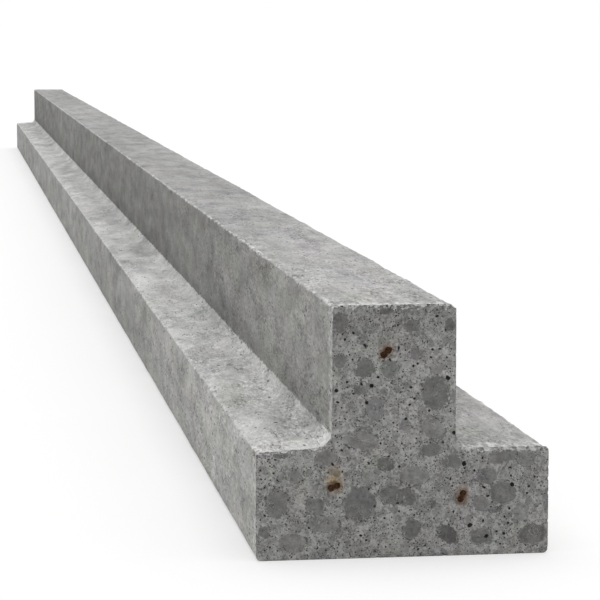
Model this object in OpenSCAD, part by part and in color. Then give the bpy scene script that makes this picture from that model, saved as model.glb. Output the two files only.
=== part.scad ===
// Prestressed concrete floor joist with an inverted-T section, cast round three two-wire strands.
// It lies on its bed face, with X across it, Y along its length and Z up.
// The origin is at the middle of the bed face.

/* [Joist] */
// Length between the two sawn ends
joist_length = 4000; // [600:50:6000]
// Width of the base, across both flanges
base_width = 140; // [120:1:200]
// Height from the bed face to the top of the stem
joist_height = 120; // [100:1:200]

/* [Stem] */
// Width of the stem
stem_width = 59; // [50:1:80]
// Distance of the stem's middle from the base's middle, towards +X
stem_offset = -4.5; // [-6:0.5:6]

/* [Flanges] */
// Height of each flange at its outer edge
flange_edge_height = 51.5; // [40:0.5:60]
// Rise of the left ledge from its outer edge to the stem
left_ledge_rise = 2; // [0:0.5:4]
// Rise of the right ledge from its outer edge to the stem
right_ledge_rise = 0; // [0:0.5:4]

/* [Edges] */
// Radius of the fillet where each ledge meets the stem
root_radius = 8; // [3:0.5:10]
// Radius of the moulded edges of the stem and of the flanges
moulded_edge_radius = 2; // [0.5:0.25:3]
// Radius of the two edges of the bed face
bed_edge_radius = 2.5; // [0.5:0.25:3]

/* [Wires] */
// Diameter of each prestressing wire
wire_diameter = 2.9; // [2:0.1:4]
// Thickness of the concrete between the two wires of a strand
wire_gap = 0.2; // [0.1:0.1:1]
// Depth that each wire's end has drawn in behind the sawn end
draw_in = 0.8; // [0.2:0.1:3]

/* [Top strand] */
// Depth of the top strand below the top of the stem
top_strand_depth = 22.5; // [15:0.5:30]
// Distance of the top strand from the stem's middle, towards +X
top_strand_offset = -4; // [-10:0.5:10]
// Tilt of the top strand's two wires, from level
top_strand_tilt = 45; // [0:1:180]

/* [Left strand] */
// Height of the left strand above the bed face
left_strand_height = 34.5; // [20:0.5:38]
// Distance of the left strand from the left side of the base
left_strand_cover = 37; // [20:0.5:45]
// Tilt of the left strand's two wires, from level
left_strand_tilt = 18; // [0:1:180]

/* [Right strand] */
// Height of the right strand above the bed face
right_strand_height = 28.5; // [20:0.5:38]
// Distance of the right strand from the right side of the base
right_strand_cover = 42; // [20:0.5:45]
// Tilt of the right strand's two wires, from level
right_strand_tilt = 68; // [0:1:180]

/* [Hidden] */
$fn = 96;
// How far a bore's cutter runs past each sawn end
cutter_overrun = 5;
base_left = -base_width / 2;
base_right = base_width / 2;
stem_left = stem_offset - stem_width / 2;
stem_right = stem_offset + stem_width / 2;
left_root_height = flange_edge_height + left_ledge_rise;
right_root_height = flange_edge_height + right_ledge_rise;
wire_spacing = wire_diameter + wire_gap;
wire_length = joist_length - 2 * draw_in;

// The section's corners, anticlockwise from the lower left, each with the radius of its arc: [x, z, radius]
section_corners = [
    [base_left, 0, bed_edge_radius],
    [base_right, 0, bed_edge_radius],
    [base_right, flange_edge_height, moulded_edge_radius],
    [stem_right, right_root_height, root_radius],
    [stem_right, joist_height, moulded_edge_radius],
    [stem_left, joist_height, moulded_edge_radius],
    [stem_left, left_root_height, root_radius],
    [base_left, flange_edge_height, moulded_edge_radius]
];
// Flats along each corner's arc
arc_steps = 8;

// Each strand's place in the section and the tilt of its two wires: [x, z, tilt]
top_strand = [stem_offset + top_strand_offset, joist_height - top_strand_depth, top_strand_tilt];
left_strand = [base_left + left_strand_cover, left_strand_height, left_strand_tilt];
right_strand = [base_right - right_strand_cover, right_strand_height, right_strand_tilt];
strands = [top_strand, left_strand, right_strand];

function unit(v) = v / norm(v);
function corner(i) = [section_corners[i][0], section_corners[i][1]];
function corner_radius(i) = section_corners[i][2];
function to_next(i) = unit(corner((i + 1) % len(section_corners)) - corner(i));
function to_last(i) = unit(corner((i + len(section_corners) - 1) % len(section_corners)) - corner(i));
function half_angle(i) = acos(to_next(i) * to_last(i)) / 2;
function reach(i) = corner_radius(i) / tan(half_angle(i));
function touch_next(i) = corner(i) + to_next(i) * reach(i);
function touch_last(i) = corner(i) + to_last(i) * reach(i);
function arc_centre(i) = corner(i) + unit(to_next(i) + to_last(i)) * corner_radius(i) / sin(half_angle(i));
function direction(from, to) = atan2(to[1] - from[1], to[0] - from[0]);
function start_angle(i) = direction(arc_centre(i), touch_last(i));
function turn_angle(i) = (direction(arc_centre(i), touch_next(i)) - start_angle(i) + 540) % 360 - 180;
function arc_points(i) = [
    for (step = [0:arc_steps])
        let (angle = start_angle(i) + turn_angle(i) * step / arc_steps)
        arc_centre(i) + corner_radius(i) * [cos(angle), sin(angle)]
];
function wire_place(strand, side) = [
    strand[0] + side * cos(strand[2]) * wire_spacing / 2,
    strand[1] + side * sin(strand[2]) * wire_spacing / 2
];

module joist_section() {
    polygon([for (i = [0:len(section_corners) - 1]) each arc_points(i)]);
}

// A round bar along the joist, at one wire's place in a strand
module bar_at_wire(strand, side, length) {
    place = wire_place(strand, side);
    translate([place[0], 0, place[1]])
        rotate([90, 0, 0])
        cylinder(h = length, d = wire_diameter, center = true);
}

// The casting, with a bore moulded round each wire
module concrete_joist() {
    color("#8b8b89")
        difference() {
            rotate([90, 0, 0])
                linear_extrude(height = joist_length, center = true) joist_section();
            for (strand = strands, side = [-1, 1])
                bar_at_wire(strand, side, joist_length + 2 * cutter_overrun);
        }
}

// One cold-drawn steel wire, rusted where it was sawn
module strand_wire(strand, side) {
    color("#6b3f22") bar_at_wire(strand, side, wire_length);
}

module top_strand_lower_wire() { strand_wire(top_strand, -1); }
module top_strand_upper_wire() { strand_wire(top_strand, 1); }
module left_strand_lower_wire() { strand_wire(left_strand, -1); }
module left_strand_upper_wire() { strand_wire(left_strand, 1); }
module right_strand_lower_wire() { strand_wire(right_strand, -1); }
module right_strand_upper_wire() { strand_wire(right_strand, 1); }

concrete_joist();
top_strand_lower_wire();
top_strand_upper_wire();
left_strand_lower_wire();
left_strand_upper_wire();
right_strand_lower_wire();
right_strand_upper_wire();
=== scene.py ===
import math
import random

import bmesh
import bpy
from mathutils import Euler, Matrix, Vector


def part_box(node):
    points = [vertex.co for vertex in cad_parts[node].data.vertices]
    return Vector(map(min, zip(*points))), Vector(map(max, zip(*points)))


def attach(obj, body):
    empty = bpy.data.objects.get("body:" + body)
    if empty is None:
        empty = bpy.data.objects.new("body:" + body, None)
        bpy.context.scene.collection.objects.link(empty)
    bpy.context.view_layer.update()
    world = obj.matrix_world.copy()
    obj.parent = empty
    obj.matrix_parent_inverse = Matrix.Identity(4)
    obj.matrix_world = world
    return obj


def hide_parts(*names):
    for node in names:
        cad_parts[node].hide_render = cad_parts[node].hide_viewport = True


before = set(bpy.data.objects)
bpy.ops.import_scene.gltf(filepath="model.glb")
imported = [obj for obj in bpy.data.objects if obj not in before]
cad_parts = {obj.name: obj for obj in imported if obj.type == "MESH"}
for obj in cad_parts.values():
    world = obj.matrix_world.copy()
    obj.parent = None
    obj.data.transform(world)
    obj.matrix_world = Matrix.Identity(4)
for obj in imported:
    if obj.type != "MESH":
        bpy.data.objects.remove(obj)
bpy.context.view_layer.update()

# ---- The concrete joist ----
# One long casting of stiff grey concrete, shaped as an upside-down T in a mould bed and sawn to
# length: a wide foot whose two ledges carry the infill blocks, and a stem that stands on it.
# Sizes are in metres, except where a comment or a name says millimetres.
_, joist_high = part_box("concrete_joist")
half_length = joist_high.y
joist_top = joist_high.z
foot_side = joist_high.x
stem_left = -0.034
stem_right = 0.025
stem_middle = (stem_left + stem_right) / 2
half_stem = (stem_right - stem_left) / 2
toe_height = 0.0515
left_root = 0.0535
root_radius = 0.008
moulded_edge = 0.002
bed_edge = 0.0025
sawn_edge = 0.0004
root_steps = 8
edge_steps = 4
sawn_steps = 2
flat_angle = math.radians(0.3)
hair = 0.00002
squarely = 0.9


def choose(kind, wanted):
    """Selects only the joist's edges or faces that the test wants, in edit mode."""
    bpy.ops.mesh.select_mode(type=kind)
    bpy.ops.mesh.select_all(action="DESELECT")
    mesh = bmesh.from_edit_mesh(joist.data)
    for part in mesh.edges if kind == "EDGE" else mesh.faces:
        if wanted(part):
            part.select_set(True)
    bmesh.update_edit_mesh(joist.data)


def runs_along(edge, corners):
    """True for a long edge of the joist that stands at one of the section's corners (x, z)."""
    return any(
        all(abs(v.co.x - x) < hair and abs(v.co.z - z) < hair for v in edge.verts)
        for x, z in corners
    )


def cut_through(place, normal):
    """Cuts all of the joist's faces along one plane, in edit mode."""
    bpy.ops.mesh.select_all(action="SELECT")
    bpy.ops.mesh.bisect(plane_co=place, plane_no=normal)


bpy.ops.mesh.primitive_cube_add(
    size=1,
    location=(0, 0, toe_height / 2),
    scale=(2 * foot_side, 2 * half_length, toe_height),
)
joist = bpy.context.object
joist.name = "joist_casting"
bpy.ops.object.transform_apply(location=True, rotation=True, scale=True)

bpy.ops.object.mode_set(mode="EDIT")
for side in (stem_left, stem_right):
    cut_through((side, 0, 0), (1, 0, 0))
choose(
    "FACE",
    lambda face: face.normal.z > squarely
    and stem_left < face.calc_center_median().x < stem_right,
)
bpy.ops.mesh.extrude_region_move(
    TRANSFORM_OT_translate={"value": (0, 0, joist_top - toe_height)}
)
choose("EDGE", lambda edge: runs_along(edge, [(stem_left, toe_height)]))
bpy.ops.transform.translate(value=(0, 0, left_root - toe_height))
bpy.ops.mesh.select_all(action="SELECT")
bpy.ops.mesh.dissolve_limited(angle_limit=flat_angle)

roots = [(stem_left, left_root), (stem_right, toe_height)]
arrises = [
    (stem_left, joist_top),
    (stem_right, joist_top),
    (-foot_side, toe_height),
    (foot_side, toe_height),
]
bed_edges = [(-foot_side, 0), (foot_side, 0)]
for corners, radius, steps in (
    (roots, root_radius, root_steps),
    (arrises, moulded_edge, edge_steps),
    (bed_edges, bed_edge, edge_steps),
):
    choose("EDGE", lambda edge: runs_along(edge, corners))
    bpy.ops.mesh.bevel(offset=radius, segments=steps, affect="EDGES")
choose("EDGE", lambda edge: abs(edge.verts[0].co.y - edge.verts[1].co.y) < hair)
bpy.ops.mesh.bevel(
    offset=sawn_edge, segments=sawn_steps, affect="EDGES", clamp_overlap=False
)

# Cuts across the joist, close together at its ends and wider apart between, and cuts along it,
# give the faces enough points to wander.
first_cut = 0.002
widest_cut = 0.018
cut_growth = 1.03
cut_pitch = 0.0075
reach, step = 0.0, first_cut
while reach + step < half_length - widest_cut / 2:
    reach += step
    step = min(step * cut_growth, widest_cut)
    for y in (half_length - reach, reach - half_length):
        cut_through((0, y, 0), (0, 1, 0))
for n in range(1, round(2 * foot_side / cut_pitch)):
    cut_through((n * cut_pitch - foot_side, 0, 0), (1, 0, 0))
for n in range(1, round(joist_top / cut_pitch)):
    cut_through((0, 0, n * cut_pitch), (0, 0, 1))
bpy.ops.object.mode_set(mode="OBJECT")

# The faces that the mould formed wander inwards by a few tenths of a millimetre, and their long
# edges by more. The sawn ends and the bed stay true. Each wander has the size of its waves, their
# depth of detail and contrast, and how far they go. Only a level of 1.1 would stay in place, and
# the waves end at 1. Close to the sawn ends they settle down to nothing.
wanders = [
    ("faces", 0.05, 2, 1.5, 0.0004),
    ("long_swell", 0.060, 1, 2.0, 0.0005),
    ("crumble", 0.007, 2, 2.0, 0.0006),
]
still_level = 1.1
settling = 0.004


def on_arris(co):
    """True on the rounded part of one of the four upper long edges."""
    return any(
        abs(co.x - x) < moulded_edge + hair and abs(co.z - z) < moulded_edge + hair
        for x, z in arrises
    )


for name, size, depth, contrast, amount in wanders:
    group = joist.vertex_groups.new(name=name)
    for vertex in joist.data.vertices:
        to_saw = half_length - abs(vertex.co.y)
        if to_saw < hair or vertex.co.z < hair:
            continue
        if name == "faces" or on_arris(vertex.co):
            group.add([vertex.index], min(1.0, to_saw / settling), "REPLACE")
    waves = bpy.data.textures.new(name, "CLOUDS")
    waves.noise_scale = size
    waves.noise_depth = depth
    waves.contrast = contrast
    wander = joist.modifiers.new(name, "DISPLACE")
    wander.texture = waves
    wander.texture_coords = "LOCAL"
    wander.vertex_group = name
    wander.strength = amount
    wander.mid_level = still_level
for name, *_ in wanders:
    bpy.ops.object.modifier_apply(modifier=name)
for vertex in joist.data.vertices:
    vertex.co.x = max(-foot_side, min(foot_side, vertex.co.x))
    vertex.co.z = min(joist_top, vertex.co.z)

# Concrete, in three states. The moulded skin is pale and cloudy, with painted light and shade, the
# sawn ends show dark river stones cut flat in a sandy mortar, and broken edges show it raw, while
# air holes are painted dark as the shade in them. All of it is matt. The finishes are laid out in
# millimetres.
MM = 1000.0
cloud_roughness = 0.55
matt = 0.92
faint_shine = 0.15


def add_node(tree, kind, inputs=None, **settings):
    """Adds a shader node, applies its settings, and gives each input its value or its link."""
    made = tree.nodes.new("ShaderNode" + kind)
    for name, value in settings.items():
        setattr(made, name, value)
    for name, value in (inputs or {}).items():
        if isinstance(value, bpy.types.NodeSocket):
            tree.links.new(value, made.inputs[name])
        else:
            made.inputs[name].default_value = value
    return made


def in_millimetres(tree):
    """The point on the piece, in millimetres."""
    spot = add_node(tree, "TexCoord").outputs["Object"]
    scaled = add_node(tree, "Mapping", {"Vector": spot, "Scale": (MM, MM, MM)})
    return scaled.outputs[0]


def clouds(tree, spot, size, detail=2.0, output=0):
    """Soft noise about 0.5 whose patches are about size millimetres."""
    looks = {"Scale": 1 / size, "Detail": detail, "Roughness": cloud_roughness}
    return add_node(tree, "TexNoise", {"Vector": spot, **looks}).outputs[output]


def grains(tree, spot, size):
    """Cells of about size millimetres: how far each middle is, and a colour for each."""
    return add_node(tree, "TexVoronoi", {"Vector": spot, "Scale": 1 / size}).outputs


def between(tree, value, start, end, low=0.0, high=1.0):
    """low where value is under start, high where it is over end, and a smooth step between."""
    ends = {0: value, 1: start, 2: end, 3: low, 4: high}
    return add_node(tree, "MapRange", ends, interpolation_type="SMOOTHSTEP").outputs[0]


def sums(tree, operation, *values):
    """One sum done with numbers."""
    return add_node(tree, "Math", dict(enumerate(values)), operation=operation).outputs[0]


def times(tree, one, other):
    """One number times another."""
    return sums(tree, "MULTIPLY", one, other)


def less(tree, one, other):
    """One number less another."""
    return sums(tree, "SUBTRACT", one, other)


def apart(tree, one, other):
    """How far two numbers are apart."""
    return sums(tree, "ABSOLUTE", less(tree, one, other))


def tinted(tree, share, under, over, blend="MIX"):
    """Lays the colour over on the colour under, by the share. Sockets 6 and 7 hold colours."""
    colours = {0: share, 6: under, 7: over}
    return add_node(tree, "Mix", colours, data_type="RGBA", blend_type=blend).outputs[2]


def blended(tree, share, under, over):
    """Lays the grey over on the grey under, by the share; all are plain numbers."""
    return add_node(tree, "Mix", {0: share, 2: under, 3: over}).outputs[0]


def layered(tree, spot, layers, middle=0.5):
    """Noise of several sizes on top of each other: [(size in millimetres, strength)]."""
    tone = middle - sum(strength for size, strength in layers) / 2
    for size, strength in layers:
        tone = sums(tree, "MULTIPLY_ADD", clouds(tree, spot, size), strength, tone)
    return tone


def grey(level, warmth=0.0):
    """A near-grey colour; warmth takes some blue out of it and adds a very little red."""
    return (level * (1 + 0.15 * warmth), level, level * (1 - warmth), 1)


def new_finish(name):
    """A new matt material, its node tree and its shader."""
    finish = bpy.data.materials.new(name)
    finish.use_nodes = True
    shader = finish.node_tree.nodes["Principled BSDF"]
    shader.inputs["Roughness"].default_value = matt
    shader.inputs["Specular IOR Level"].default_value = faint_shine
    return finish, finish.node_tree, shader


def roughened(tree, shader, height, depth):
    """Gives the shader a fine relief of that depth in metres."""
    relief = add_node(tree, "Bump", {"Height": height, "Distance": depth})
    tree.links.new(relief.outputs[0], shader.inputs["Normal"])


def from_arris(tree, at):
    """How far the point is from the nearest of the four upper long edges, in millimetres."""
    nearest = None
    for middle, half_wide, height in (
        (stem_middle, half_stem, joist_top),
        (0.0, foot_side, toe_height),
    ):
        across = less(tree, apart(tree, at["X"], middle * MM), half_wide * MM)
        upward = less(tree, at["Z"], height * MM)
        squares = times(tree, upward, upward)
        away = sums(tree, "SQRT", sums(tree, "MULTIPLY_ADD", across, across, squares))
        nearest = sums(tree, "MINIMUM", nearest, away) if nearest else away
    return nearest


def patches(tree, spot, size, strength, edge=0.05):
    """Ragged patches of about size millimetres, half of them up and half down by strength."""
    wave = clouds(tree, spot, size, 5.0)
    return between(tree, wave, 0.5 - edge, 0.5 + edge, -strength, strength)


def marks(tree, spot, size, width, level=0.5):
    """Thin curved lines: 1 on the line, 0 elsewhere."""
    off = apart(tree, clouds(tree, spot, size, 3.0), level)
    return between(tree, off, width * 0.3, width, 1.0, 0.0)


# The moulded skin's greys, each as how light and how warm it is, with painted light and shade in
# them: faces looking up and faces looking sideways get their own greys, and the stem's sides are
# painted darkest, as shade beside the ledges. The ledges are the palest. Farther along, the sides
# are darkened by the last one.
skin_greys_with_painted_light = {
    "left_ledge": (0.53, 0.01),
    "left_ledge_farther": (0.62, 0.01),
    "left_ledge_at_saw": (0.74, 0.015),
    "right_ledge": (0.395, 0.012),
    "stem_top": (0.415, 0.01),
    "stem_top_farther": (0.375, 0.01),
    "left_root": (0.26, 0.032),
    "left_root_at_saw": (0.37, 0.03),
    "right_root": (0.36, 0.015),
    "stem_side": (0.332, 0.032),
    "toe_side": (0.495, 0.028),
    "sides_farther": (0.79, 0.0),
}

# Where one grey gives way to the next, in millimetres: along the joist, in from a sawn end,
# across, and up.
farther_along = (-half_length * MM, -1100)
ledge_from_saw = (10, 70)
root_from_saw = (10, 110)
left_to_right = (-36, 30)
left_to_right_root = (-10, 10)
ledge_to_stem_top = (60, 70)
root_to_stem_side = (56, 80)
toe_to_root = (49, 52)

# The clouds are drawn out along the joist, as it was cast. Each layer has its size in
# millimetres and its strength, and the small ones are weaker in the middle of the joist.
cloud_greys = [(0.30, -0.01), (1.70, 0.01)]
drawn_out = 0.28
large_clouds = [(150, 0.3), (40, 0.35), (15, 0.75)]
round_clouds = (14, 0.3)
small_clouds = [(5, 0.5), (2.0, 0.75), (0.9, 0.9)]
quiet_middle = (900, 1900, 0.3, 1.0)
skin_relief = 0.0003

# Pores in two sizes, painted dark as the shade inside small holes: the size of their cells in
# millimetres, their share of it, and how rare they are. Rubbed edges are crumbs between two greys,
# partly wear and partly a painted highlight.
skin_pores = [(2.4, 0.24, 0.56), (5.0, 0.18, 0.52)]
pore_shade_grey = 0.12
crumb_and_highlight_greys = [(0.45, 0.015), (1.0, 0.015)]


def skin_colour_with_painted_light(tree, at, to_saw, upward):
    """The skin's colour at each place, with painted light and shade by which way the face looks,
    before its clouds and its wear.
    """
    greys = {name: grey(*tone) for name, tone in skin_greys_with_painted_light.items()}
    farther = between(tree, at["Y"], *farther_along)
    ledge = tinted(tree, farther, greys["left_ledge"], greys["left_ledge_farther"])
    in_from_saw = between(tree, to_saw, *ledge_from_saw)
    ledge = tinted(tree, in_from_saw, greys["left_ledge_at_saw"], ledge)
    on_right = between(tree, at["X"], *left_to_right)
    above = tinted(tree, on_right, ledge, greys["right_ledge"])
    stem_top = tinted(tree, farther, greys["stem_top"], greys["stem_top_farther"])
    above = tinted(tree, between(tree, at["Z"], *ledge_to_stem_top), above, stem_top)

    in_from_saw = between(tree, to_saw, *root_from_saw)
    root = tinted(tree, in_from_saw, greys["left_root_at_saw"], greys["left_root"])
    on_right = between(tree, at["X"], *left_to_right_root)
    root = tinted(tree, on_right, root, greys["right_root"])
    up_stem = between(tree, at["Z"], *root_to_stem_side)
    stem_side = tinted(tree, up_stem, root, greys["stem_side"])
    off_toe = between(tree, at["Z"], *toe_to_root)
    beside = tinted(tree, off_toe, greys["toe_side"], stem_side)
    darker = tinted(tree, 1.0, beside, greys["sides_farther"], "MULTIPLY")
    beside = tinted(tree, farther, beside, darker)
    # Faces that look up take the upper greys and the rest take the side greys: painted light and
    # shade.
    return tinted(tree, upward, beside, above)


def cloudy_tone(tree, spot, drawn, off_middle, upward):
    """The skin's clouds and fine lines: about 0.5, darker under it and paler over it."""
    tone = layered(tree, drawn, large_clouds)
    size, strength = round_clouds
    tone = less(tree, tone, strength / 2)
    tone = sums(tree, "MULTIPLY_ADD", clouds(tree, spot, size, 3.0), strength, tone)
    fine = layered(tree, drawn, small_clouds, 0.0)
    lively = between(tree, clouds(tree, drawn, 18), 0.35, 0.65, 0.65, 1.3)
    lively = times(tree, lively, between(tree, off_middle, *quiet_middle))
    lively = times(tree, lively, between(tree, upward, 0.0, 1.0, 0.9, 1.0))
    tone = sums(tree, "MULTIPLY_ADD", fine, lively, tone)
    sparse = between(tree, clouds(tree, drawn, 9), 0.50, 0.60, 0.0, -0.3)
    return sums(tree, "MULTIPLY_ADD", marks(tree, drawn, 5, 0.02), sparse, tone)


def rubbed_and_highlit_edges(tree, drawn, at, to_saw, upward, colour):
    """Rubs the edges pale and crumbling, partly as wear and partly as a painted highlight, and
    less so down the sides.
    """
    near_edge = sums(tree, "MINIMUM", from_arris(tree, at), times(tree, to_saw, 0.2))
    near_edge = sums(tree, "MULTIPLY_ADD", clouds(tree, drawn, 3.5, 3.0), -6.0, near_edge)
    rubbed = between(tree, clouds(tree, drawn, 2.6, 4.0), 0.40, 0.58, 0.05, 0.95)
    rubbed = times(tree, rubbed, between(tree, upward, 0.0, 1.0, 0.55, 1.0))
    # The pale crumbs along the edges are partly wear and partly a painted highlight.
    worn = times(tree, between(tree, near_edge, -1.5, -0.2, 1.0, 0.0), rubbed)
    dark, pale = crumb_and_highlight_greys
    crumbs = tinted(tree, clouds(tree, drawn, 2.0, 4.0), grey(*dark), grey(*pale))
    return tinted(tree, worn, colour, crumbs)


def moulded_skin():
    """Formed concrete: painted pale on top and darker down the sides as light and shade, cloudy,
    with pores painted dark as shade and edges worn pale with a painted highlight.
    """
    finish, tree, shader = new_finish("moulded_concrete")
    spot = in_millimetres(tree)
    stretch = {"Vector": spot, "Scale": (1, drawn_out, 1)}
    drawn = add_node(tree, "Mapping", stretch).outputs[0]
    at = add_node(tree, "SeparateXYZ", {0: spot}).outputs
    off_middle = sums(tree, "ABSOLUTE", at["Y"])
    to_saw = less(tree, half_length * MM, off_middle)
    normal = add_node(tree, "TexCoord").outputs["Normal"]
    facing = add_node(tree, "SeparateXYZ", {0: normal}).outputs["Z"]
    scalloped = sums(tree, "MULTIPLY_ADD", clouds(tree, drawn, 2.6, 2.0), 0.36, facing)
    upward = between(tree, scalloped, 0.44, 0.54)

    skin = skin_colour_with_painted_light(tree, at, to_saw, upward)
    tone = cloudy_tone(tree, spot, drawn, off_middle, upward)
    dark, pale = cloud_greys
    shade = tinted(tree, tone, grey(*dark), grey(*pale))
    colour = tinted(tree, 1.0, skin, shade, "MULTIPLY")
    tint = clouds(tree, drawn, 26, 2.0, "Color")
    colour = tinted(tree, 0.07, colour, tint, "SOFT_LIGHT")
    colour = rubbed_and_highlit_edges(tree, drawn, at, to_saw, upward, colour)
    # The pores are painted dark, as the shade inside small holes.
    for size, largest, least in skin_pores:
        pores = grains(tree, drawn, size)
        some = between(tree, clouds(tree, drawn, 3 * size), least - 0.04, least + 0.02)
        pore = between(tree, pores["Distance"], 0.6 * largest, largest, 0.8, 0.0)
        colour = tinted(tree, times(tree, pore, some), colour, grey(pore_shade_grey))
    tree.links.new(colour, shader.inputs["Base Color"])
    roughened(tree, shader, tone, skin_relief)
    return finish


# Where stones show on the near sawn end, in millimetres from the middle of the bed: across, up,
# half width, half height, turn in degrees, and how pale the stone is.
near_stones = [
    (-18.6, 90.5, 4.6, 4.6, 0, 0.165), (-6.5, 89.7, 4.0, 4.2, 0, 0.200),
    (-30, 112, 3.8, 4.5, 0, 0.210), (-30, 94, 3.2, 3.0, 0, 0.180),
    (-21.3, 80, 3.0, 2.0, 10, 0.195), (-13.4, 71, 4.3, 5.8, -15, 0.240),
    (-18.4, 59, 5.8, 2.9, 20, 0.230), (-8, 118.5, 3.4, 2.6, 0, 0.175),
    (15, 78, 6.4, 8.0, -12, 0.175), (16, 90, 2.9, 2.9, 0, 0.290),
    (14, 61, 6.0, 4.6, 15, 0.255), (4, 110, 4.1, 2.9, 0, 0.215),
    (6, 96.6, 3.8, 2.4, 0, 0.220), (22, 110, 2.5, 3.2, 0, 0.180),
    (1, 62.6, 3.0, 3.0, 0, 0.245), (-60, 26.6, 5.2, 6.6, 10, 0.195),
    (-42, 25, 4.5, 4.5, 0, 0.200), (-21, 26, 7.7, 8.2, 30, 0.180),
    (-6, 30, 6.2, 4.8, 20, 0.175), (-8, 44.5, 4.5, 3.4, 0, 0.150),
    (-37, 48, 5.3, 3.8, -10, 0.225), (-20, 56, 8.6, 4.3, 8, 0.235),
    (-38, 17, 7.2, 3.8, 5, 0.260), (-53, 8, 6.7, 4.8, 0, 0.260),
    (-66, 14, 2.9, 2.9, 0, 0.175), (-58.6, 50, 3.4, 1.6, 0, 0.165),
    (-15.6, 38, 4.8, 2.9, 10, 0.300), (-51, 40, 3.2, 3.2, 0, 0.235),
    (13, 51, 5.2, 3.2, -8, 0.175), (23, 45, 5.3, 2.9, 10, 0.175),
    (5.6, 39, 6.9, 4.8, 0, 0.255), (1.5, 29, 4.4, 4.3, 0, 0.165),
    (48, 30, 6.4, 5.8, 20, 0.195), (40, 38, 5.0, 3.8, 0, 0.195),
    (47, 47, 6.7, 3.6, -5, 0.200), (59, 46, 4.8, 3.8, 0, 0.230),
    (4, 13, 4.4, 4.4, 0, 0.175), (21, 10, 5.5, 3.6, 35, 0.110),
    (37, 9, 5.3, 3.8, 0, 0.190), (62.5, 9.5, 7.0, 4.8, 0, 0.170),
    (13, 25, 2.4, 1.9, 0, 0.160), (45, 22, 3.4, 1.9, 0, 0.175),
    (37, 25, 3.8, 3.4, 0, 0.230), (57, 20, 3.8, 4.3, 0, 0.285),
]

# The stones at the far end are scattered where they find room, in millimetres too.
dice = random.Random(41)
stone_tries = 400
across_foot = (-66, 66)
up_section = (5, 115)
ledge_cover = 47
stem_cover = 3
stone_sizes = (2.6, 7.0)
stone_gap = 1.5
stone_flatness = (0.6, 1.0)
stone_turns = (-40, 40)
stone_paleness = (0.15, 0.28)
far_stones = []
for _ in range(stone_tries):
    x = dice.uniform(*across_foot)
    z = dice.uniform(*up_section)
    size = dice.uniform(*stone_sizes)
    in_stem = stem_left * MM + stem_cover < x < stem_right * MM - stem_cover
    room = all(
        math.hypot(x - stone[0], z - stone[1]) > size + stone[2] + stone_gap
        for stone in far_stones
    )
    if room and (z < ledge_cover or in_stem):
        height = size * dice.uniform(*stone_flatness)
        turn = dice.uniform(*stone_turns)
        far_stones.append((x, z, size, height, turn, dice.uniform(*stone_paleness)))

# Each strand's middle in the section, and its turn in degrees, from its two wires.
strand_middles = {}
strand_turns = {}
for strand in ("top", "left", "right"):
    lower_low, lower_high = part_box(f"{strand}_strand_lower_wire")
    upper_low, upper_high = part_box(f"{strand}_strand_upper_wire")
    strand_middles[strand] = (lower_low + lower_high + upper_low + upper_high) / 4
    strand_turns[strand] = -math.degrees(
        math.atan2(upper_low.z - lower_low.z, upper_low.x - lower_low.x)
    )

# Rust has bled from each strand into the concrete: how far across and up, how far above the
# strand its middle is (all in millimetres), how strong it is, and its colour.
bleeds = {
    "top": (5.5, 6.5, 1.5, 0.75, (1.02, 0.84, 0.72, 1)),
    "left": (6.5, 9.5, 3.5, 1.0, (1.02, 0.80, 0.50, 1)),
    "right": (5.5, 7.0, 1.5, 0.75, (1.02, 0.84, 0.72, 1)),
}


def how_far_out(tree, spot, place, half_wide, half_high, turn=0.0):
    """Distance from the middle of an oval at the place on a sawn end: 1 on its outline."""
    oval = {
        "Vector": spot,
        "Location": place,
        "Rotation": (0, math.radians(turn), 0),
        "Scale": (half_wide, MM, half_high),
    }
    placed = add_node(tree, "Mapping", oval, vector_type="TEXTURE").outputs[0]
    return add_node(tree, "VectorMath", {0: placed}, operation="LENGTH").outputs["Value"]


def below_top(tree, at):
    """How far a point of a sawn end is below the ledge or the stem's top, in millimetres."""
    off_stem = less(tree, apart(tree, at["X"], stem_middle * MM), half_stem * MM)
    radius = root_radius * MM
    from_root = sums(tree, "MAXIMUM", 0.0, less(tree, radius, off_stem))
    minus = times(tree, from_root, -1)
    arc = sums(tree, "SQRT", sums(tree, "MULTIPLY_ADD", from_root, minus, radius * radius))
    toe, root = toe_height * MM, left_root * MM
    left, right = stem_left * MM, stem_right * MM
    left_ledge = between(tree, at["X"], -foot_side * MM, left, toe, root)
    right_drop = between(tree, at["X"], left, right, radius, radius + toe - root)
    ledge = less(tree, sums(tree, "ADD", left_ledge, right_drop), arc)
    height = between(tree, off_stem, -0.1, 0.0, joist_top * MM, ledge)
    return less(tree, height, at["Z"])


# What shows on a sawn end, with sizes in millimetres: the mortar's mottling, its sand and its
# fine stones, the stones' own grain, and how far the saw has left each outline ragged.
mortar_layers = [(30, 0.3), (9, 0.3), (3, 0.4), (1.1, 0.75)]
mortar_greys = (0.09, 0.58)
sand_size = 1.4
sand_strength = 0.35
fine_stone_size = 5.5
fine_stone_greys = (0.17, 0.30)
stone_layers = [(5, 1.2), (2.2, 0.7), (0.9, 0.45)]
stone_brightness = 0.98
wobble = 4.0
raggedness = 0.45
darker_to_top = (95, 116, 1.0, 0.78)
sawn_relief = 0.0007

# Broken dark and pale lines follow each stone's outline, and others wander through the mortar:
# where on the waves each lies, its strength, and its grey.
outline_lines = [(0.50, 0.58, 0.08), (0.46, 0.38, 0.42)]
mortar_lines = [(0.50, 0.75, 0.07), (0.53, 0.5, 0.45)]

# Fine pits in two sizes, painted dark as the shade in them: the size of their cells, and how
# common they are.
sawn_pits = [(1.8, 0.40, 0.52), (1.1, 0.50, 0.58)]
pit_rim_grey = 0.44
pit_shade_grey = 0.05

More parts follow.
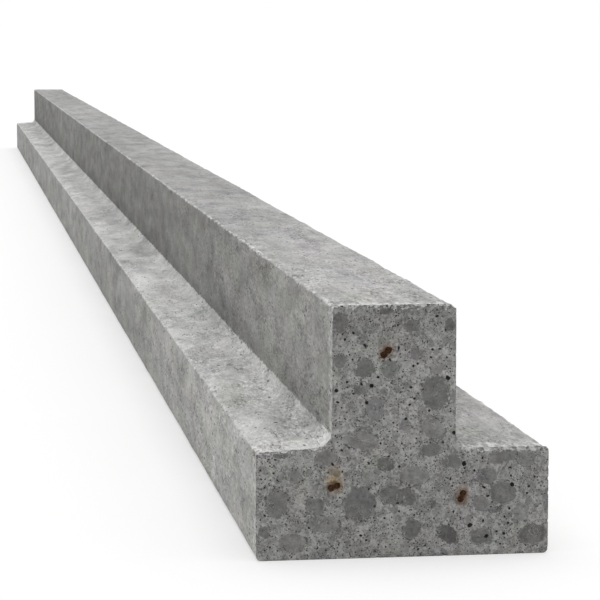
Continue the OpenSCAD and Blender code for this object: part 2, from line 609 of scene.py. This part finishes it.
# The rim that the saw broke out: its depths in millimetres, and the greys of its crumbs, whose
# pale ones are partly a painted highlight of the top's worn rim.
rim_depths = (-0.2, 3.0)
rim_greys_with_highlight = [(0.16, 0.02), (0.66, 0.02)]

# Rust darkens the concrete close round each strand, and nearly blackens it between the wires:
# half width, half height and colour.
close_rust = (4.8, 3.7, (0.125, 0.065, 0.036, 1))
inner_rust = (1.9, 1.6, (0.045, 0.025, 0.016, 1))


def sandy_mortar(tree, spot):
    """Mortar with sand and fine stones in it: its speckle, and its grey."""
    tone = layered(tree, spot, mortar_layers)
    tone = sums(tree, "ADD", tone, patches(tree, spot, 3.5, 0.08, 0.03))
    tone = less(tree, tone, sand_strength / 2)
    sand = grains(tree, spot, sand_size)["Color"]
    speckled = sums(tree, "MULTIPLY_ADD", sand, sand_strength, tone)
    mortar = between(tree, speckled, -0.15, 1.15, *mortar_greys)
    fine_stones = grains(tree, spot, fine_stone_size)
    fine_edge = between(tree, fine_stones["Distance"], 0.30, 0.40, 1.0, 0.0)
    fine_tone = between(tree, fine_stones["Color"], 0.0, 1.0, *fine_stone_greys)
    some = between(tree, clouds(tree, spot, 16), 0.42, 0.52, 0.0, 0.7)
    return speckled, blended(tree, times(tree, fine_edge, some), mortar, fine_tone)


def cut_stones(tree, spot, wobbled, y, mortar, stones):
    """Stones in the mortar, crisp or soft: how covered a point is, their outlines, the grey."""
    shift = wobble / 2
    rough = clouds(tree, spot, 2.2, 3.0)
    ragged = sums(tree, "MULTIPLY_ADD", rough, raggedness, -raggedness / 2)
    crisp = clouds(tree, spot, 20)
    cover_from = between(tree, crisp, 0.40, 0.58, 0.78, 0.95)
    cover_to = between(tree, crisp, 0.40, 0.58, 1.20, 1.04)
    covered, outline, paleness = 0.0, 0.0, 0.2
    for across, up, half_wide, half_high, turn, pale in stones:
        place = (across + shift, y * MM, up + shift)
        out = how_far_out(tree, wobbled, place, half_wide, half_high, turn)
        out = sums(tree, "ADD", out, ragged)
        cover = between(tree, out, cover_from, cover_to, 0.93, 0.0)
        paleness = blended(tree, cover, paleness, pale)
        covered = sums(tree, "MAXIMUM", covered, cover)
        on_line = between(tree, apart(tree, out, 1.08), 0.02, 0.09, 1.0, 0.0)
        outline = sums(tree, "MAXIMUM", outline, on_line)
    stone = times(tree, paleness, layered(tree, spot, stone_layers, stone_brightness))
    return covered, outline, blended(tree, covered, mortar, stone)


def lined_and_pitted(tree, spot, covered, outline, level):
    """Draws the broken lines and the fine pits, whose dark hollows are painted shade. The pits are
    mostly in the mortar.
    """
    in_mortar = sums(tree, "MULTIPLY_ADD", covered, -0.85, 1.0)
    along = clouds(tree, spot, 2.6, 3.0)
    for low, high, paint in outline_lines:
        broken = between(tree, along, low, high, 0.0, 0.8)
        level = blended(tree, times(tree, outline, broken), level, paint)
    in_patches = between(tree, clouds(tree, spot, 8), 0.46, 0.56, 0.15, 1.0)
    for line_level, strength, paint in mortar_lines:
        line = times(tree, marks(tree, spot, 4.5, 0.016, line_level), in_patches)
        level = blended(tree, times(tree, line, strength), level, paint)
    for size, low, high in sawn_pits:
        pit = grains(tree, spot, size)["Distance"]
        some = between(tree, clouds(tree, spot, 4 * size), low, high, 0.08, 0.95)
        some = times(tree, some, in_mortar)
        rim = between(tree, apart(tree, pit, 0.38), 0.03, 0.09, 0.25, 0.0)
        level = blended(tree, times(tree, rim, some), level, pit_rim_grey)
        # The pit's hollow is painted dark, as the shade inside it.
        hollow = between(tree, pit, 0.14, 0.28, 1.0, 0.0)
        level = blended(tree, times(tree, hollow, some), level, pit_shade_grey)
    return level


def broken_rim_with_highlight(tree, spot, at, colour):
    """Lays the ragged rim, pale and dark, that the saw broke out below the upper edges; the pale
    is partly a painted highlight.
    """
    depth = between(tree, clouds(tree, spot, 2.4, 4.0), 0.38, 0.64, *rim_depths)
    beyond = less(tree, below_top(tree, at), depth)
    dark, pale = rim_greys_with_highlight
    tone = between(tree, clouds(tree, spot, 1.7, 4.0), 0.40, 0.62)
    tone = tinted(tree, tone, grey(*dark), grey(*pale))
    # The pale crumbs are painted paler than the face's own light makes them: partly broken
    # concrete, partly a painted highlight.
    return tinted(tree, between(tree, beyond, -0.3, 0.2, 0.9, 0.0), colour, tone)


def rust_stained(tree, spot, wobbled, y, colour):
    """Stains the concrete round each strand, from the widest and faintest stain inwards."""
    shift = wobble / 2
    patchy = between(tree, clouds(tree, spot, 3.0), 0.30, 0.60, 0.45, 1.0)
    for strand, (half_wide, half_high, lift, strength, stain) in bleeds.items():
        middle = strand_middles[strand] * MM
        turn = strand_turns[strand]
        place = (middle.x + shift, y * MM, middle.z + lift + shift)
        out = how_far_out(tree, wobbled, place, half_wide, half_high)
        soaked = times(tree, between(tree, out, 0.0, 1.1, strength, 0.0), patchy)
        colour = tinted(tree, soaked, colour, stain, "MULTIPLY")
        half_wide, half_high, stain = close_rust
        place = (middle.x + shift, y * MM, middle.z + shift)
        out = how_far_out(tree, wobbled, place, half_wide, half_high, turn)
        soaked = times(tree, between(tree, out, 0.4, 1.15, 0.9, 0.0), patchy)
        colour = tinted(tree, soaked, colour, stain)
        half_wide, half_high, stain = inner_rust
        place = (middle.x, y * MM, middle.z)
        out = how_far_out(tree, spot, place, half_wide, half_high, turn)
        colour = tinted(tree, between(tree, out, 0.5, 1.1, 0.7, 0.0), colour, stain)
    return colour


def sawn_face(name, y, stones):
    """Sawn concrete with the given stones cut flat in a mortar of sand and fine stones."""
    finish, tree, shader = new_finish(name)
    spot = in_millimetres(tree)
    speckled, mortar = sandy_mortar(tree, spot)
    moved = {0: clouds(tree, spot, 6, 3.0, "Color"), 1: (wobble, 0.0, wobble), 2: spot}
    wobbled = add_node(tree, "VectorMath", moved, operation="MULTIPLY_ADD").outputs[0]
    covered, outline, level = cut_stones(tree, spot, wobbled, y, mortar, stones)
    at = add_node(tree, "SeparateXYZ", {0: spot}).outputs
    level = times(tree, level, between(tree, at["Z"], *darker_to_top))
    level = lined_and_pitted(tree, spot, covered, outline, level)
    colour = tinted(tree, 1.0, level, grey(1.0, 0.03), "MULTIPLY")
    tint = clouds(tree, spot, 22, 2.0, "Color")
    colour = tinted(tree, 0.06, colour, tint, "SOFT_LIGHT")
    colour = broken_rim_with_highlight(tree, spot, at, colour)
    colour = rust_stained(tree, spot, wobbled, y, colour)
    tree.links.new(colour, shader.inputs["Base Color"])
    roughened(tree, shader, speckled, sawn_relief)
    return finish


for finish in (
    moulded_skin(),
    sawn_face("sawn_near_end", -half_length, near_stones),
    sawn_face("sawn_far_end", half_length, far_stones),
):
    joist.data.materials.append(finish)
for face in joist.data.polygons:
    if abs(face.normal.y) > squarely:
        face.material_index = 1 if face.center.y < 0 else 2

# Air holes and broken edges are bitten out with rough lumps: many small round holes over the
# sawn ends, a few over the moulded faces, and chips along every edge. A lump is a ball whose
# points are moved by up to a fifth of its radius, and each bite keeps clear of the others.
raw_layers = [(3, 1.0), (0.9, 1.4)]
lump_roughness = 0.2
clear_of_lump = 1.25
well_inside = 0.95
every_lump = []


def speckled_finish(name, layers, dark, pale):
    """A matt material, speckled between two colours."""
    finish, tree, shader = new_finish(name)
    tone = layered(tree, in_millimetres(tree), layers)
    tree.links.new(tinted(tree, tone, dark, pale), shader.inputs["Base Color"])
    return finish


def raw_concrete(name, pale, dark):
    """The pitted or broken inside of the concrete; in the holes its dark greys are painted shade.
    """
    return speckled_finish(name, raw_layers, grey(dark, 0.02), grey(pale, 0.02))


def rough_lumps(name, finish, count, fineness):
    """Balls with a lumpy surface, one unit in radius, to bite pieces out with."""
    lumps = []
    for n in range(count):
        bpy.ops.mesh.primitive_ico_sphere_add(subdivisions=fineness, radius=1)
        lump = bpy.context.object
        lump.name = f"{name}_{n}"
        bpy.ops.object.mode_set(mode="EDIT")
        bpy.ops.transform.vertex_random(offset=lump_roughness, uniform=0.0, normal=0.0, seed=n + 1)
        bpy.ops.object.mode_set(mode="OBJECT")
        lump.data.materials.append(finish)
        lumps.append(lump)
    every_lump.extend(lumps)
    return lumps


def cut_away(cutters, name):
    """Takes the cutters' shapes out of the joist, and leaves their finish on the cuts."""
    bpy.ops.object.select_all(action="DESELECT")
    for cutter in cutters:
        cutter.select_set(True)
    bpy.context.view_layer.objects.active = cutters[0]
    bpy.ops.object.join()
    bpy.ops.object.transform_apply(location=True, rotation=True, scale=True)
    joined = bpy.context.object
    cut = joist.modifiers.new(name, "BOOLEAN")
    cut.operation = "DIFFERENCE"
    cut.solver = "MANIFOLD"
    cut.material_mode = "TRANSFER"
    cut.object = joined
    bpy.ops.object.select_all(action="DESELECT")
    joist.select_set(True)
    bpy.context.view_layer.objects.active = joist
    bpy.ops.object.modifier_apply(modifier=name)
    bpy.data.objects.remove(joined)


def bite(name, lumps, places):
    """Bites a lump out of the joist at each place that is clear: (place, sizes, turn)."""
    copies = []
    taken = []
    for place, sizes, turn in places:
        room = max(sizes) * clear_of_lump
        if any((place - other).length < room + far for other, far in taken):
            continue
        taken.append((place, room))
        copy = lumps[len(copies) % len(lumps)].copy()
        copy.data = copy.data.copy()
        copy.matrix_world = Matrix.LocRotScale(place, Euler(turn), Vector(sizes))
        scene.collection.objects.link(copy)
        copies.append(copy)
    cut_away(copies, name)


def inside_section(x, z, margin):
    """True where x and z are inside the sawn outline by the margin."""
    in_foot = abs(x) < foot_side - margin and margin < z < toe_height - margin
    in_stem = stem_left + margin < x < stem_right - margin
    return in_foot or (in_stem and margin < z < joist_top - margin)


def on_stone(x, z, stones):
    """True where x and z are well inside one of the stones."""
    return any(
        math.hypot((x * MM - across) / half_wide, (z * MM - up) / half_high) < well_inside
        for across, up, half_wide, half_high, turn, paleness in stones
    )


scene = bpy.context.scene
# The insides of the air holes and bubbles are painted near black, as the shade in the hollows; the
# broken edges are pale raw concrete.
hole_shade_finish = raw_concrete("air_hole_painted_shade", 0.09, 0.02)
bubble_shade_finish = raw_concrete("bubble_wall_painted_shade", 0.26, 0.08)
chip_finish = raw_concrete("broken_edge", 0.72, 0.28)
notch_finish = raw_concrete("notched_edge", 0.36, 0.14)
pin_lumps = rough_lumps("pin_lump", hole_shade_finish, count=4, fineness=1)
hole_lumps = rough_lumps("hole_lump", hole_shade_finish, count=4, fineness=2)
bubble_lumps = rough_lumps("bubble_lump", bubble_shade_finish, count=4, fineness=2)
chip_lumps = rough_lumps("chip_lump", chip_finish, count=5, fineness=2)
crumb_lumps = rough_lumps("crumb_lump", chip_finish, count=5, fineness=1)
notch_lumps = rough_lumps("notch_lump", notch_finish, count=5, fineness=2)

# The air holes that stand out on the near end, in millimetres: across, up, radius.
near_holes = [
    (-32, 80, 0.9), (-17.6, 74, 0.9), (-15.3, 82, 1.0), (-27, 84, 0.6), (-12.3, 86, 0.6),
    (-28, 104, 0.7), (-24, 107, 0.6), (13.6, 98.6, 0.6), (6.5, 92, 0.6), (21, 85, 1.0),
    (1, 66, 0.7), (24, 58.9, 0.9), (-11, 54.6, 0.6), (-2, 43.4, 0.6), (-16.5, 33, 0.5),
    (-9, 19, 0.6), (-2, 22, 0.6), (29, 44, 1.1), (34, 40.6, 0.6), (52.3, 33.5, 1.2),
    (32, 14.4, 1.0), (50.5, 15, 0.7), (48.5, 10, 0.7), (51, 22, 0.6), (63, 37, 0.5),
    (40, 9, 0.9), (23.4, 33.5, 0.5),
]
hole_depth = 1.4
holes = []
for x, z, radius in near_holes:
    size = radius / MM
    sizes = (size, size * hole_depth, size * dice.uniform(0.8, 1.4))
    holes.append((Vector((x / MM, -half_length, z / MM)), sizes, (0, dice.uniform(0, 3), 0)))
bite("plain_holes", hole_lumps, holes)

# Air bubbles that stood against the mould have left round holes, most of them in the sides:
# where each face starts and ends (across, up), and how many holes it has.
bubbles_a_side = 34
bubbles_a_ledge = 14
bubbles_on_top = 16
smallest_bubble = 0.0006
bubble_growth = 0.0013
bubble_from_saw = 0.01
bubble_faces = [
    ((stem_left, 0.064), (stem_left, 0.116), bubbles_a_side),
    ((stem_right, 0.064), (stem_right, 0.116), bubbles_a_side),
    ((-foot_side, 0.005), (-foot_side, 0.047), bubbles_a_side),
    ((foot_side, 0.005), (foot_side, 0.047), bubbles_a_side),
    ((-0.066, 0.0517), (-0.045, 0.0529), bubbles_a_ledge),
    ((0.036, toe_height), (0.066, toe_height), bubbles_a_ledge),
    ((-0.030, joist_top), (0.021, joist_top), bubbles_on_top),
]
bubbles = []
for (x0, z0), (x1, z1), count in bubble_faces:
    for _ in range(count):
        share = dice.random()
        size = smallest_bubble + bubble_growth * dice.random() ** 2
        y = dice.uniform(bubble_from_saw - half_length, half_length - bubble_from_saw)
        place = Vector((x0 + (x1 - x0) * share, y, z0 + (z1 - z0) * share))
        bubbles.append((place, (size, size * dice.uniform(0.8, 1.5), size), (0, 0, 0)))
bite("bubbles", bubble_lumps, bubbles)

# Pin holes are scattered over the mortar of both ends, clear of the stones and the larger holes.
pins_per_end = 1800
smallest_pin = 0.00022
pin_growth = 0.0005
pin_from_edge = 0.0012
pin_from_hole = 0.002
pins = []
for end, stones in ((-half_length, near_stones), (half_length, far_stones)):
    for _ in range(pins_per_end):
        x = dice.uniform(-foot_side, foot_side)
        z = dice.uniform(0, joist_top)
        size = smallest_pin + pin_growth * dice.random() ** 4
        if not inside_section(x, z, pin_from_edge) or on_stone(x, z, stones):
            continue
        if all(math.hypot(x - hx / MM, z - hz / MM) > pin_from_hole for hx, hz, _ in near_holes):
            sizes = (size, size * hole_depth, size * dice.uniform(0.7, 1.8))
            pins.append((Vector((x, end, z)), sizes, (0, dice.uniform(0, 3), 0)))
bite("pin_holes", pin_lumps, pins)

# Chips along the outline of each sawn end, from corner to corner, and how many: pale ones, grit,
# notches and pits painted dark as shade along the upper edges, and dull notches down the sides and
# along the bed.
upper_edges = [
    ((stem_left, joist_top), (stem_right, joist_top), 90),
    ((-foot_side, toe_height), (stem_left - root_radius, left_root), 46),
    ((stem_right + root_radius, toe_height), (foot_side, toe_height), 60),
]
lower_edges = [
    ((stem_left, left_root + root_radius), (stem_left, joist_top), 12),
    ((stem_right, toe_height + root_radius), (stem_right, joist_top), 18),
    ((-foot_side, 0), (-foot_side, toe_height), 10),
    ((foot_side, 0), (foot_side, toe_height), 18),
    ((-foot_side, 0), (foot_side, 0), 24),
]


def outline_chips(name, edges, lumps, smallest, largest):
    """Bites chips of those sizes out of both sawn ends, along the edges."""
    chips = []
    for end in (-half_length, half_length):
        for (x0, z0), (x1, z1), count in edges:
            for _ in range(count):
                along = dice.random()
                size = smallest + (largest - smallest) * dice.random() ** 2
                place = Vector((x0 + (x1 - x0) * along, end, z0 + (z1 - z0) * along))
                sizes = (size * dice.uniform(0.8, 1.5), size, size * 0.8)
                chips.append((place, sizes, (0, dice.uniform(-0.5, 0.5), 0)))
    bite(name, lumps, chips)


outline_chips("upper_chips", upper_edges, chip_lumps, 0.0008, 0.0022)
outline_chips("upper_notches", upper_edges, notch_lumps, 0.0005, 0.0016)
outline_chips("upper_grit", upper_edges, chip_lumps, 0.0004, 0.0008)
pitted_edges = [(first, last, count // 3) for first, last, count in upper_edges]
outline_chips("upper_pits", pitted_edges, pin_lumps, 0.0005, 0.0009)
outline_chips("lower_notches", lower_edges, notch_lumps, 0.0006, 0.0018)

# Small chips along the four upper long edges, more of them towards the near end.
chips_per_arris = 330
chip_reach = half_length - 0.004
smallest_chip = 0.0005
chip_growth = 0.0020
chip_depth = 0.0010
chips = []
for x, z in arrises:
    for _ in range(chips_per_arris):
        y = chip_reach * (2 * dice.random() ** 1.4 - 1)
        size = smallest_chip + chip_growth * dice.random() ** 2.5
        inward = chip_depth - 0.45 * size
        place = Vector((x - math.copysign(inward, x), y, z - inward))
        chips.append((place, (size, size * dice.uniform(1.0, 2.2), size), (0, 0, 0)))
bite("edge_chips", crumb_lumps, chips)

# Longer shallow breaks along the same edges, and the knocked corner of the near stem top.
breaks_per_arris = 80
break_reach = half_length - 0.02
break_sizes = (0.0012, 0.0024)
break_lengths = (0.004, 0.011)
break_depth = 0.0008
knocked_corner = Vector((stem_right, -half_length, joist_top))
knocked_sizes = (0.0027, 0.005, 0.0023)
breaks = [(knocked_corner, knocked_sizes, (0, 0, 0))]
for x, z in arrises:
    for _ in range(breaks_per_arris):
        y = break_reach * (2 * dice.random() ** 1.3 - 1)
        size = dice.uniform(*break_sizes)
        inward = break_depth - 0.5 * size
        place = Vector((x - math.copysign(inward, x), y, z - inward))
        breaks.append((place, (size, dice.uniform(*break_lengths), size), (0, 0, 0)))
bite("long_breaks", chip_lumps, breaks)

# A round bore for each wire runs right through, and its mouth has crumbled a little.
wire_names = [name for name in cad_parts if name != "concrete_joist"]
bore_slack = 0.00005
bore_overrun = 0.01
bore_sides = 20
mouth_width = (1.0, 1.25)
mouth_depth = 0.5
mouth_layers = [(1.2, 2.0)]
mouth_dark = (0.016, 0.008, 0.004, 1)
mouth_bright = (0.10, 0.048, 0.022, 1)
# The bore walls are painted dark, as the shade inside the narrow bores.
bore_shade_finish = raw_concrete("bore_wall_painted_shade", 0.12, 0.05)
mouth_finish = speckled_finish("rusty_mouth", mouth_layers, mouth_dark, mouth_bright)
mouth_lumps = rough_lumps("mouth_lump", mouth_finish, count=3, fineness=2)
bores = []
wire_middles = []
mouths = {"lower": [], "upper": []}
for name in wire_names:
    wire_low, wire_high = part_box(name)
    middle = (wire_low + wire_high) / 2
    wire_middles.append(middle)
    radius = (wire_high.x - wire_low.x) / 2
    bpy.ops.mesh.primitive_cylinder_add(
        vertices=bore_sides,
        radius=radius + bore_slack,
        depth=2 * (half_length + bore_overrun),
        location=middle,
        rotation=(math.radians(90), 0, 0),
    )
    bore = bpy.context.object
    bore.data.materials.append(bore_shade_finish)
    bores.append(bore)
    for end in (-half_length, half_length):
        place = Vector((middle.x, end, middle.z))
        wide = radius * dice.uniform(*mouth_width)
        sizes = (wide, radius * mouth_depth, radius * dice.uniform(*mouth_width))
        row = "lower" if "lower" in name else "upper"
        mouths[row].append((place, sizes, (0, dice.uniform(0, 6), 0)))
for row, places in mouths.items():
    bite(f"{row}_mouths", mouth_lumps, places)
cut_away(bores, "wire_bores")
for lump in every_lump:
    bpy.data.objects.remove(lump)
bpy.ops.object.shade_smooth_by_angle(angle=math.radians(25))

# A flat map of the casting, on a sheet of 1024 squares a side, for painting its finish on. Each
# sawn end has a large patch, the long faces lie side by side in two rows of half the joist, and
# the bed, in four lengths, and the bores have what is left. Each patch has the size of its
# squares in metres, and its lowest corner in squares.
sheet = 1024
end_square = 0.00035
end_corners = {-1: (4, 4), 1: (410, 4)}
bed_square = 0.00293
bed_corner = (816, 7)
bed_column = 51
bed_lengths = 4
long_square = 0.0020
cross_square = 0.0012
row_corners = {-1: (4, 354), 1: (13, 688)}
strip_gap = 2
bore_corner = (1015, 356)
bore_column = (1.15, 660)
bore_fill = 0.9
strips = {
    "left_toe": (0.0, toe_height),
    "left_ledge": (-foot_side, stem_left),
    "left_stem": (toe_height, joist_top),
    "stem_top": (stem_left, stem_right),
    "right_stem": (toe_height, joist_top),
    "right_ledge": (stem_right, foot_side),
    "right_toe": (0.0, toe_height),
}
strip_corners = {}
corner = 0.0
for name, (first, last) in strips.items():
    strip_corners[name] = corner - first / cross_square
    corner += (last - first) / cross_square + strip_gap
at_surface = 0.003
at_saw = 0.004


def long_strip(centre, normal, moulded):
    """The strip that a face away from the sawn ends lies in, or bed."""
    side = "left" if centre.x < stem_middle else "right"
    if moulded and abs(normal.x) > abs(normal.z):
        at_toe = abs(centre.x) > foot_side - root_radius
        return f"{side}_toe" if at_toe else f"{side}_stem"
    if centre.z > joist_top - at_surface:
        return "stem_top"
    if moulded and normal.z < 0:
        return "bed"
    by_toe = abs(centre.x) > foot_side - at_surface and centre.z < toe_height - at_surface
    if by_toe and not moulded:
        return f"{side}_toe"
    if moulded or centre.z < left_root + at_surface:
        return f"{side}_ledge"
    return f"{side}_stem"


def bore_places(points, centre):
    """Where the corners of a bore's face go on the sheet: each bore is unrolled in a column."""
    away = [math.hypot(m.x - centre.x, m.z - centre.z) for m in wire_middles]
    bore = away.index(min(away))
    middle = wire_middles[bore]
    turns = [0.5 + math.atan2(p.z - middle.z, p.x - middle.x) / (2 * math.pi) for p in points]
    turns = [t if max(turns) - t < 0.5 else t + 1 for t in turns]
    wide, long = bore_column
    left, low = bore_corner
    left += bore * wide
    return [
        (left + t * bore_fill * wide, low + (p.y / half_length + 1) / 2 * long)
        for t, p in zip(turns, points)
    ]


def sheet_places(points, centre, normal, finish):
    """Where a face's corners go on the sheet, in squares."""
    if finish == "bore_wall_painted_shade":
        return bore_places(points, centre)
    moulded = finish == "moulded_concrete"
    to_saw = half_length - abs(centre.y)
    half = -1 if centre.y < 0 else 1
    if to_saw < at_saw and (abs(normal.y) > 0.5 or (not moulded and to_saw < at_surface)):
        left, low = end_corners[half]
        return [(left + (p.x + foot_side) / end_square, low + p.z / end_square) for p in points]
    strip = long_strip(centre, normal, moulded)
    if strip == "bed":
        length = 2 * half_length / bed_lengths
        column = min(bed_lengths - 1, int((centre.y + half_length) / length))
        start = column * length - half_length
        left, low = bed_corner
        left += column * bed_column
        return [
            (left + (p.x + foot_side) / bed_square, low + (p.y - start) / bed_square)
            for p in points
        ]
    left, low = row_corners[half]
    low += strip_corners[strip]
    start = -half_length if half < 0 else 0.0
    flat = strip.endswith("ledge") or strip == "stem_top"
    return [
        (left + (p.y - start) / long_square, low + (p.x if flat else p.z) / cross_square)
        for p in points
    ]


sheet_map = joist.data.uv_layers.new(name="OFBake").data
finish_names = [finish.name for finish in joist.data.materials]
for face in joist.data.polygons:
    points = [joist.data.vertices[n].co for n in face.vertices]
    finish = finish_names[face.material_index]
    places = sheet_places(points, face.center, face.normal, finish)
    for n, (left, low) in zip(face.loop_indices, places):
        sheet_map[n].uv = (left / sheet, low / sheet)

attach(joist, "root")
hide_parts("concrete_joist")

# ---- The six prestressing wires ----
# Three pairs of hard-drawn steel wires run the joist's length. They were stretched in the mould,
# and the concrete cast round them grips them. They have rusted where the saw cut them through.
rust_layers = [(2.5, 1.2), (0.8, 1.8)]
dark_rust = (0.010, 0.006, 0.004, 1)
bright_rust = (0.135, 0.062, 0.030, 1)
rust = speckled_finish("rusted_wire", rust_layers, dark_rust, bright_rust)
for name in wire_names:
    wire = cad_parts[name]
    wire.data.materials.clear()
    wire.data.materials.append(rust)

# ---- The studio ----
# A plain white floor that keeps the joist's soft shadow, an even pale sky, and one very wide
# soft lamp above, a little to the right and behind.
sky_strength = 0.5
lamp_strength = 0.5
lamp_spread = 90
lamp_tilt = 4
lamp_back = 3
floor_size = 600
floor_paleness = 0.8
floor_shadow = 0.6
shown_white = 1.02


def end_with(tree, output, lights, shows):
    """Ends the tree with one shader for the light it gives and one for what the camera sees."""
    ray = add_node(tree, "LightPath").outputs
    seen = sums(tree, "MAXIMUM", ray["Is Camera Ray"], ray["Is Glossy Ray"])
    seen = sums(tree, "MAXIMUM", seen, ray["Is Transmission Ray"])
    shaders = {0: seen, 1: lights.outputs[0], 2: shows.outputs[0]}
    mixed = add_node(tree, "MixShader", shaders)
    tree.links.new(mixed.outputs[0], tree.nodes[output].inputs["Surface"])


bpy.ops.mesh.primitive_plane_add(size=floor_size, location=(0, 0, 0))
floor = bpy.context.object
floor.name = "studio_floor"
floor_finish = bpy.data.materials.new("studio_white")
floor_finish.use_nodes = True
tree = floor_finish.node_tree
tree.nodes.remove(tree.nodes["Principled BSDF"])
bounce = add_node(tree, "BsdfDiffuse", {"Color": grey(floor_paleness)})
shadow = add_node(tree, "BsdfDiffuse", {"Color": grey(floor_shadow)})
glow_strength = shown_white - floor_shadow
glow = add_node(tree, "Emission", {"Color": grey(1.0), "Strength": glow_strength})
shown = add_node(tree, "AddShader", {0: shadow.outputs[0], 1: glow.outputs[0]})
end_with(tree, "Material Output", bounce, shown)
floor.data.materials.append(floor_finish)

world = bpy.data.worlds.new("studio_sky")
scene.world = world
world.use_nodes = True
tree = world.node_tree
sky = tree.nodes["Background"]
sky.inputs["Color"].default_value = grey(1.0)
sky.inputs["Strength"].default_value = sky_strength
white = add_node(tree, "Background", {"Color": grey(1.0), "Strength": 1.0})
end_with(tree, "World Output", sky, white)

lamp_turn = (-math.radians(lamp_back), math.radians(lamp_tilt), 0)
bpy.ops.object.light_add(type="SUN", rotation=lamp_turn)
lamp = bpy.context.object
lamp.data.energy = lamp_strength * math.pi
lamp.data.angle = math.radians(lamp_spread)

# The camera stands low, a little over a metre in front of the near end and to its left, and
# looks along the joist. Its lens and sensor are in millimetres.
camera_place = (-0.2095, -3.1354, 0.2492)
camera_turn = (math.radians(83.712), 0, math.radians(-8.039))
bpy.ops.object.camera_add(location=camera_place, rotation=camera_turn)
camera = bpy.context.object
camera.data.lens = 149.24
camera.data.sensor_width = 36
camera.data.clip_end = 1000
scene.camera = camera
scene.view_settings.view_transform = "Standard"
